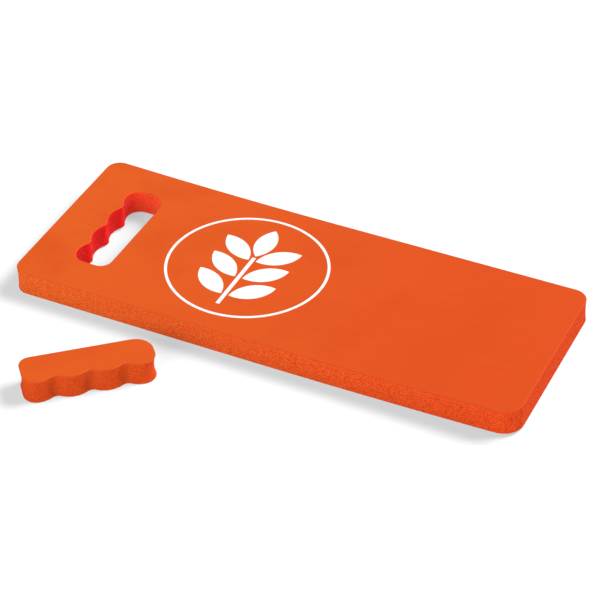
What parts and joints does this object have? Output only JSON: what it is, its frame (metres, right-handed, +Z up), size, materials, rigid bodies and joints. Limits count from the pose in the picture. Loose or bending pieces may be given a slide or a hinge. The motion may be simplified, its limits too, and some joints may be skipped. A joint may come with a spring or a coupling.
{
  "type": "kneeling pad",
  "caption": "Rectangular die-cut foam kneeling pad with a scalloped through hand hole, the loose piece cut from that hole, and a round leaf badge printed on top.",
  "frame": {"origin": "middle of the pad's flat underside, on the ground", "axes": "+X along the pad's length away from the hand hole, +Y across its width away from the loose piece, +Z up out of the printed face"},
  "size_m": [0.406, 0.2664, 0.0197],
  "materials": {
    "pad_foam": "matt moulded skin on top and bottom, fine open cells on the cut edges",
    "insert_foam": "matt moulded skin on top and bottom, fine open cells on the cut edges",
    "white_ink": "matt screen-print ink"
  },
  "bodies": {
    "pad": {"foam_pad": "pad_foam", "printed_ring": "white_ink", "printed_leaves": "white_ink"},
    "cut_out": {"hand_hole_insert": "insert_foam"}
  },
  "joints": [
    {"name": "insert_lift", "type": "slide", "parent": "pad", "child": "cut_out", "axis": [0, 0, 1], "range_m": [0, 0.12]}
  ]
}
